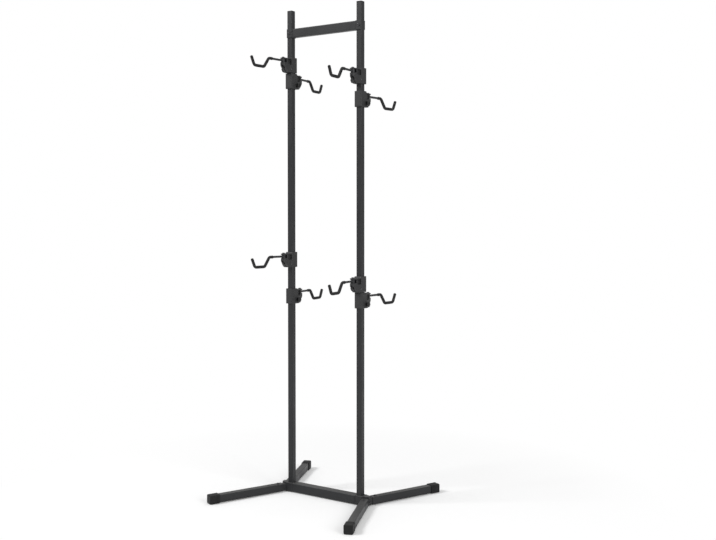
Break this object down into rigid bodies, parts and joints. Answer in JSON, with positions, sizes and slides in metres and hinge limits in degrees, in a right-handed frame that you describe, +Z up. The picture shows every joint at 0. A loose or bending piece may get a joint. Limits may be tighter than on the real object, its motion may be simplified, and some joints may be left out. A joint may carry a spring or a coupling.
{
  "type": "two tier bike rack",
  "caption": "Free-standing two tier rack: square posts on splayed legs, a crossbar, and sliding clamp brackets whose swivelling arms cradle a bike's top tube.",
  "frame": {"origin": "on the floor, at the middle of the rack's base", "axes": "+Z up; +X along the base rail, from the left post to the right post as the picture shows them; +Y from the front brackets to the rear brackets"},
  "size_m": [0.7532, 0.7196, 2.13],
  "materials": {
    "frame_steel": "satin black powder coat",
    "arm_steel": "satin black powder coat",
    "bracket_casting": "fine textured black powder coat on cast metal",
    "cap_plastic": "matte moulded black plastic",
    "knob_plastic": "matte moulded black plastic",
    "cradle_rubber": "soft matte black rubber",
    "fastener_steel": "black oxide with worn edges"
  },
  "bodies": {
    "frame": {"base_rail": "frame_steel", "hub_left": "frame_steel", "foot_bolt_left": "fastener_steel", "post_left": "frame_steel", "post_cap_left": "cap_plastic", "leg_left_front": "frame_steel", "leg_cap_left_front": "cap_plastic", "leg_left_rear": "frame_steel", "leg_cap_left_rear": "cap_plastic", "hub_right": "frame_steel", "foot_bolt_right": "fastener_steel", "post_right": "frame_steel", "post_cap_right": "cap_plastic", "leg_right_front": "frame_steel", "leg_cap_right_front": "cap_plastic", "leg_right_rear": "frame_steel", "leg_cap_right_rear": "cap_plastic", "crossbar": "frame_steel", "crossbar_bolt_left": "fastener_steel", "crossbar_bolt_right": "fastener_steel"},
    "clamp_upper_left_front": {"bracket_upper_left_front": "bracket_casting", "pivot_bolt_upper_left_front": "fastener_steel"},
    "swing_upper_left_front": {"arm_upper_left_front": "arm_steel", "cradle_upper_left_front": "cradle_rubber"},
    "grip_upper_left_front": {"knob_upper_left_front": "knob_plastic"},
    "clamp_upper_left_rear": {"bracket_upper_left_rear": "bracket_casting", "pivot_bolt_upper_left_rear": "fastener_steel"},
    "swing_upper_left_rear": {"arm_upper_left_rear": "arm_steel", "cradle_upper_left_rear": "cradle_rubber"},
    "grip_upper_left_rear": {"knob_upper_left_rear": "knob_plastic"},
    "clamp_upper_right_front": {"bracket_upper_right_front": "bracket_casting", "pivot_bolt_upper_right_front": "fastener_steel"},
    "swing_upper_right_front": {"arm_upper_right_front": "arm_steel", "cradle_upper_right_front": "cradle_rubber"},
    "grip_upper_right_front": {"knob_upper_right_front": "knob_plastic"},
    "clamp_upper_right_rear": {"bracket_upper_right_rear": "bracket_casting", "pivot_bolt_upper_right_rear": "fastener_steel"},
    "swing_upper_right_rear": {"arm_upper_right_rear": "arm_steel", "cradle_upper_right_rear": "cradle_rubber"},
    "grip_upper_right_rear": {"knob_upper_right_rear": "knob_plastic"},
    "clamp_lower_left_front": {"bracket_lower_left_front": "bracket_casting", "pivot_bolt_lower_left_front": "fastener_steel"},
    "swing_lower_left_front": {"arm_lower_left_front": "arm_steel", "cradle_lower_left_front": "cradle_rubber"},
    "grip_lower_left_front": {"knob_lower_left_front": "knob_plastic"},
    "clamp_lower_left_rear": {"bracket_lower_left_rear": "bracket_casting", "pivot_bolt_lower_left_rear": "fastener_steel"},
    "swing_lower_left_rear": {"arm_lower_left_rear": "arm_steel", "cradle_lower_left_rear": "cradle_rubber"},
    "grip_lower_left_rear": {"knob_lower_left_rear": "knob_plastic"},
    "clamp_lower_right_front": {"bracket_lower_right_front": "bracket_casting", "pivot_bolt_lower_right_front": "fastener_steel"},
    "swing_lower_right_front": {"arm_lower_right_front": "arm_steel", "cradle_lower_right_front": "cradle_rubber"},
    "grip_lower_right_front": {"knob_lower_right_front": "knob_plastic"},
    "clamp_lower_right_rear": {"bracket_lower_right_rear": "bracket_casting", "pivot_bolt_lower_right_rear": "fastener_steel"},
    "swing_lower_right_rear": {"arm_lower_right_rear": "arm_steel", "cradle_lower_right_rear": "cradle_rubber"},
    "grip_lower_right_rear": {"knob_lower_right_rear": "knob_plastic"}
  },
  "joints": [
    {"name": "height_upper_left_front", "type": "slide", "parent": "frame", "child": "clamp_upper_left_front", "axis": [0, 0, 1], "range_m": [0, 0.085]},
    {"name": "swing_upper_left_front", "type": "hinge", "parent": "clamp_upper_left_front", "child": "swing_upper_left_front", "pos_m": [-0.183, -0.058, 1.906], "axis": [0, 0, 1], "range_deg": [-25, 35]},
    {"name": "knob_upper_left_front", "type": "hinge", "parent": "clamp_upper_left_front", "child": "grip_upper_left_front", "pos_m": [-0.183, -0.021, 1.873], "axis": [-1, 0, 0], "range_deg": [0, 540]},
    {"name": "height_upper_left_rear", "type": "slide", "parent": "frame", "child": "clamp_upper_left_rear", "axis": [0, 0, 1], "range_m": [-0.717, 0]},
    {"name": "swing_upper_left_rear", "type": "hinge", "parent": "clamp_upper_left_rear", "child": "swing_upper_left_rear", "pos_m": [-0.183, 0.058, 1.837], "axis": [0, 0, 1], "range_deg": [-35, 25]},
    {"name": "knob_upper_left_rear", "type": "hinge", "parent": "clamp_upper_left_rear", "child": "grip_upper_left_rear", "pos_m": [-0.183, 0.021, 1.804], "axis": [1, 0, 0], "range_deg": [0, 540]},
    {"name": "height_upper_right_front", "type": "slide", "parent": "frame", "child": "clamp_upper_right_front", "axis": [0, 0, 1], "range_m": [-0.027, 0.159]},
    {"name": "swing_upper_right_front", "type": "hinge", "parent": "clamp_upper_right_front", "child": "swing_upper_right_front", "pos_m": [0.183, -0.058, 1.832], "axis": [0, 0, 1], "range_deg": [-35, 25]},
    {"name": "knob_upper_right_front", "type": "hinge", "parent": "clamp_upper_right_front", "child": "grip_upper_right_front", "pos_m": [0.183, -0.021, 1.799], "axis": [-1, 0, 0], "range_deg": [0, 540]},
    {"name": "height_upper_right_rear", "type": "slide", "parent": "frame", "child": "clamp_upper_right_rear", "axis": [0, 0, 1], "range_m": [-0.711, 0.027]},
    {"name": "swing_upper_right_rear", "type": "hinge", "parent": "clamp_upper_right_rear", "child": "swing_upper_right_rear", "pos_m": [0.183, 0.058, 1.736], "axis": [0, 0, 1], "range_deg": [-25, 35]},
    {"name": "knob_upper_right_rear", "type": "hinge", "parent": "clamp_upper_right_rear", "child": "grip_upper_right_rear", "pos_m": [0.183, 0.021, 1.703], "axis": [1, 0, 0], "range_deg": [0, 540]},
    {"name": "height_lower_left_front", "type": "slide", "parent": "frame", "child": "clamp_lower_left_front", "axis": [0, 0, 1], "range_m": [-0.093, 0.717]},
    {"name": "swing_lower_left_front", "type": "hinge", "parent": "clamp_lower_left_front", "child": "swing_lower_left_front", "pos_m": [-0.183, -0.058, 1.051], "axis": [0, 0, 1], "range_deg": [-25, 35]},
    {"name": "knob_lower_left_front", "type": "hinge", "parent": "clamp_lower_left_front", "child": "grip_lower_left_front", "pos_m": [-0.183, -0.021, 1.018], "axis": [-1, 0, 0], "range_deg": [0, 540]},
    {"name": "height_lower_left_rear", "type": "slide", "parent": "frame", "child": "clamp_lower_left_rear", "axis": [0, 0, 1], "range_m": [-0.796, 0.093]},
    {"name": "swing_lower_left_rear", "type": "hinge", "parent": "clamp_lower_left_rear", "child": "swing_lower_left_rear", "pos_m": [-0.183, 0.058, 0.889], "axis": [0, 0, 1], "range_deg": [-35, 25]},
    {"name": "knob_lower_left_rear", "type": "hinge", "parent": "clamp_lower_left_rear", "child": "grip_lower_left_rear", "pos_m": [-0.183, 0.021, 0.856], "axis": [1, 0, 0], "range_deg": [0, 540]},
    {"name": "height_lower_right_front", "type": "slide", "parent": "frame", "child": "clamp_lower_right_front", "axis": [0, 0, 1], "range_m": [0, 0.711]},
    {"name": "swing_lower_right_front", "type": "hinge", "parent": "clamp_lower_right_front", "child": "swing_lower_right_front", "pos_m": [0.183, -0.058, 0.956], "axis": [0, 0, 1], "range_deg": [-35, 25]},
    {"name": "knob_lower_right_front", "type": "hinge", "parent": "clamp_lower_right_front", "child": "grip_lower_right_front", "pos_m": [0.183, -0.021, 0.923], "axis": [-1, 0, 0], "range_deg": [0, 540]},
    {"name": "height_lower_right_rear", "type": "slide", "parent": "frame", "child": "clamp_lower_right_rear", "axis": [0, 0, 1], "range_m": [-0.794, 0]},
    {"name": "swing_lower_right_rear", "type": "hinge", "parent": "clamp_lower_right_rear", "child": "swing_lower_right_rear", "pos_m": [0.183, 0.058, 0.887], "axis": [0, 0, 1], "range_deg": [-25, 35]},
    {"name": "knob_lower_right_rear", "type": "hinge", "parent": "clamp_lower_right_rear", "child": "grip_lower_right_rear", "pos_m": [0.183, 0.021, 0.854], "axis": [1, 0, 0], "range_deg": [0, 540]}
  ]
}
